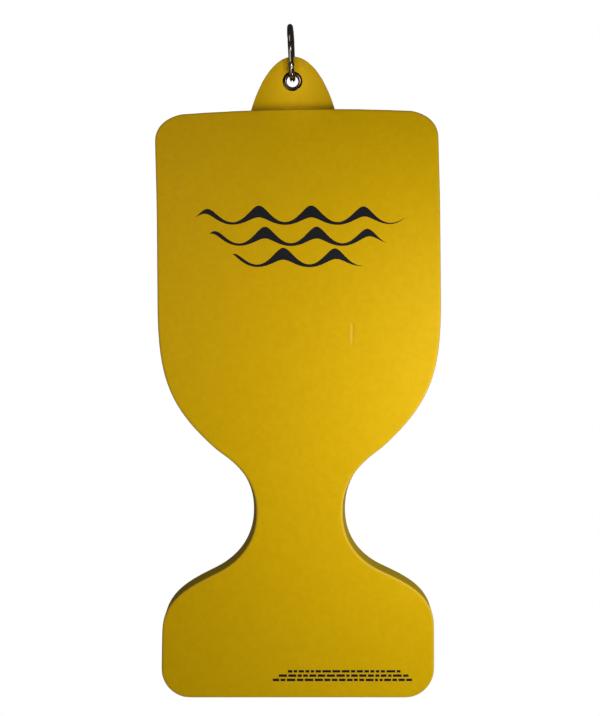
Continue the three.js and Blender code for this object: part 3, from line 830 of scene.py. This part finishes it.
def bent_wire():
    """The wire, bent over the large bow, down the spine, round the small bow and up a short stub."""
    form = bmesh.new()
    bmesh.ops.create_circle(form, segments=28, radius=WIRE_RADIUS)
    start = math.pi + LEG_LEAN
    place = Matrix.Translation((0, LARGE_BOW_RADIUS * math.cos(start),
                                LARGE_BOW_Z + LARGE_BOW_RADIUS * math.sin(start)))
    bmesh.ops.transform(form, matrix=place @ Matrix.Rotation(start, 4, "X"), verts=form.verts)

    def end_of(result, key="geom_last"):
        return [part for part in result[key] if not isinstance(part, bmesh.types.BMFace)]

    def bent(geom, centre_z, angle, steps):
        return end_of(bmesh.ops.spin(form, geom=geom, cent=(0, 0, centre_z), axis=(1, 0, 0),
                                     angle=angle, steps=steps))

    def drawn(geom, way, length, steps):
        for _ in range(steps):
            result = bmesh.ops.extrude_edge_only(
                form, edges=[part for part in geom if isinstance(part, bmesh.types.BMEdge)])
            geom = end_of(result, "geom")
            bmesh.ops.translate(form, vec=way * (length / steps),
                                verts=[part for part in geom if isinstance(part, bmesh.types.BMVert)])
        return geom

    ring = form.verts[:] + form.edges[:]
    ring = bent(ring, LARGE_BOW_Z, -(math.pi + 2 * LEG_LEAN), 56)
    ring = drawn(ring, Vector((0, -math.sin(LEG_LEAN), -math.cos(LEG_LEAN))), LEG_LENGTH, 10)
    ring = bent(ring, SMALL_BOW_Z, -(math.pi - 2 * LEG_LEAN), 36)
    drawn(ring, Vector((0, -math.sin(LEG_LEAN), math.cos(LEG_LEAN))), LEG_STUB, 2)
    caps = bmesh.ops.holes_fill(form, edges=form.edges, sides=0)["faces"]
    bmesh.ops.recalc_face_normals(form, faces=form.faces)
    bevelled(form, list({edge for cap in caps for edge in cap.edges}), 0.0004, 3)
    return form


def on_leg(form):
    bmesh.ops.transform(form, matrix=LEG_ON_HOOK, verts=form.verts)
    return form


def hook_wire():
    half, width = TONGUE_THICKNESS / 2, TONGUE_HALF_WIDTH
    tongue = box_form((-half, -width, LEG_STUB - TONGUE_SUNK), (half, width, PIVOT_AT + CAM_FLAT))
    bevelled(tongue, sharp_edges(tongue), EDGE_BREAK)
    slot = PIN_RADIUS + GAP + 0.0001
    nose = box_form((-half, -width, PIN_AT - NOSE_REACH), (half, width, LEG_LENGTH + TONGUE_SUNK))
    bevelled(nose, sharp_edges(nose), EDGE_BREAK)
    keyhole = rod_form("X", slot, -width, width)
    bmesh.ops.translate(keyhole, vec=(0, 0, PIN_AT), verts=keyhole.verts)
    nose = combined(nose, keyhole, "DIFFERENCE")
    nose = combined(nose, box_form((-width, 0, PIN_AT - slot), (width, 2 * width, PIN_AT + slot)),
                    "DIFFERENCE")
    form = combined(bent_wire(), on_leg(tongue), "UNION")
    form = combined(form, on_leg(nose), "UNION")
    bmesh.ops.transform(form, matrix=HOOK_TURN, verts=form.verts)
    return form


hook = made_piece(hook_wire(), "bent_hook_wire", HOOK_STEEL, 32)
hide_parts("hook_body")
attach(hook, "snap_hook")


def gate_rod():
    form = flat_node_form("hook_gate")
    bevelled(form, sharp_edges(form), 0.00022, 2)
    return form


gate = made_piece(gate_rod(), "forked_gate", HOOK_STEEL, 32)
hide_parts("hook_gate")
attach(gate, "gate")


def leg_pin(name, half, place_on_leg, body, stands_for):
    """A pin across the leg, from the profile of its half on the +X side."""
    form = turned([(radius, -place) for radius, place in reversed(half)] + half, "X", 32)
    bmesh.ops.transform(form, matrix=LEG_PLACE @ Matrix.Translation((0, 0, place_on_leg)),
                        verts=form.verts)
    piece = made_piece(form, name, HOOK_STEEL, 40)
    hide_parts(stands_for)
    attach(piece, body)


under = GATE_RADIUS + GAP
head = PIN_RADIUS + 0.0009
rivet_half = [(PIN_RADIUS, under), (head, under), (head, under + 0.0001),
              (head * 0.93, under + 0.0003), (head * 0.72, under + 0.00047),
              (head * 0.4, under + 0.00057), (0, under + 0.0006)]
leg_pin("domed_rivet", rivet_half, PIVOT_AT, "snap_hook", "gate_rivet")
pin_half = [(PIN_RADIUS, GATE_RADIUS - GAP - 0.0002), (PIN_RADIUS - 0.0002, GATE_RADIUS - GAP),
            (0, GATE_RADIUS - GAP)]
leg_pin("gate_cross_pin", pin_half, PIN_AT, "gate", "nose_pin")


spring = made_piece(node_form("gate_spring"), "coiled_spring", SPRING_STEEL, 50)
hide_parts("gate_spring")
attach(spring, "gate")
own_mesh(spring)

for kept, finish in (("foam_front_ply", BARE_FOAM), ("foam_rear_ply", BARE_FOAM),
                     ("spring_plunger", HOOK_STEEL)):
    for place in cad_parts[kept].material_slots:
        place.material = finish


# ---- Studio ---------------------------------------------------------------------------------------

FLOOR_Z = -1.25
FLOOR_RADIUS = 0.70
FLOOR_GLOW = 0.62
VIEW_CENTRE = Vector((0.0138, 0, -0.4713))
VIEW_DISTANCE = 1.5
FRAME_LONG_SIDE = 36
LENS = 52.48


def floor_disc():
    form = bmesh.new()
    bmesh.ops.create_circle(form, segments=96, radius=FLOOR_RADIUS, cap_ends=True)
    bmesh.ops.translate(form, vec=(SLAB_CENTRE_X, 0, FLOOR_Z), verts=form.verts)
    finish, tree, shader = new_finish("pale floor")
    place = node(tree, "ShaderNodeTexCoord").outputs["Object"]
    cloud = node(tree, "ShaderNodeTexNoise", {"Vector": place, "Scale": 9.0}).outputs["Fac"]
    tree.links.new(blended_colour(tree, cloud, (0.86, 0.86, 0.85), (0.90, 0.90, 0.89)),
                   shader.inputs["Base Color"])
    shader.inputs["Roughness"].default_value = 0.8
    shader.inputs["Emission Color"].default_value = (1, 1, 1, 1)
    seen = node(tree, "ShaderNodeLightPath").outputs["Is Camera Ray"]
    tree.links.new(calc(tree, "MULTIPLY", seen, FLOOR_GLOW), shader.inputs["Emission Strength"])
    mesh = bpy.data.meshes.new("floor")
    form.to_mesh(mesh)
    form.free()
    mesh.materials.append(finish)
    floor = bpy.data.objects.new("floor", mesh)
    bpy.context.scene.collection.objects.link(floor)


def hung_light(name, kind, place, aim, power, colour):
    light = bpy.data.lights.new(name, kind)
    light.energy = power
    light.color = colour
    lamp = bpy.data.objects.new(name, light)
    lamp.location = place
    lamp.rotation_euler = (Vector(aim) - Vector(place)).to_track_quat("-Z", "Y").to_euler()
    bpy.context.scene.collection.objects.link(lamp)
    return lamp


def softbox(name, place, aim, size, power, colour):
    lamp = hung_light(name, "AREA", place, aim, power, colour)
    lamp.visible_camera = False
    lamp.data.shape = "RECTANGLE"
    lamp.data.size, lamp.data.size_y = size


def spotlight(name, place, aim, beam_degrees, power, colour):
    lamp = hung_light(name, "SPOT", place, aim, power, colour)
    lamp.data.spot_size = math.radians(beam_degrees)
    lamp.data.spot_blend = 0.7
    lamp.data.shadow_soft_size = 0.03


def pale_world():
    """A plain white backdrop, and a dim even room light that reaches the object."""
    world = bpy.data.worlds.new("studio")
    world.use_nodes = True
    tree = world.node_tree
    room = tree.nodes["Background"]
    room.inputs["Color"].default_value = (1, 0.97, 0.93, 1)
    room.inputs["Strength"].default_value = 0.06
    backdrop = node(tree, "ShaderNodeBackground", {"Color": (1, 1, 1, 1), "Strength": 1.0})
    seen = node(tree, "ShaderNodeLightPath").outputs["Is Camera Ray"]
    mix = node(tree, "ShaderNodeMixShader", {0: seen, 1: room.outputs[0], 2: backdrop.outputs[0]})
    tree.links.new(mix.outputs[0], tree.nodes["World Output"].inputs["Surface"])
    bpy.context.scene.world = world


floor_disc()
pale_world()
softbox("key", place=(0.397, -0.533, -0.542), aim=(0.196, 0, -0.736),
        size=(0.10, 0.46), power=3.45, colour=(0.98, 1.0, 0.96))
softbox("front fill", place=(-0.315, -0.671, -0.266), aim=(0.01, 0, -0.5),
        size=(0.45, 0.65), power=1.6, colour=(1.0, 0.90, 0.75))
softbox("back light", place=(0.0115, 1.90, -1.00), aim=(0.0115, 0, -0.5),
        size=(0.5, 0.5), power=26, colour=(1.0, 0.97, 0.92))
softbox("right side light", place=(1.30, 0.15, -1.05), aim=(0.10, 0, -0.55),
        size=(0.5, 0.5), power=5.5, colour=(1.0, 0.98, 0.94))
softbox("left side light", place=(-1.30, 0.25, -1.05), aim=(-0.10, 0, -0.55),
        size=(0.5, 0.5), power=1.2, colour=(1.0, 0.98, 0.94))
spotlight("tab light", place=(0.06, -0.27, 0.00), aim=(0.006, 0, -0.078),
          beam_degrees=20, power=1.05, colour=(1.0, 0.95, 0.88))

camera = bpy.data.objects.new("camera", bpy.data.cameras.new("camera"))
camera.data.sensor_width = FRAME_LONG_SIDE
camera.data.lens = LENS
camera.location = VIEW_CENTRE - Vector((0, VIEW_DISTANCE, 0))
camera.rotation_euler = (math.pi / 2, 0, 0)
bpy.context.scene.collection.objects.link(camera)
bpy.context.scene.camera = camera
bpy.context.scene.view_settings.view_transform = "Standard"
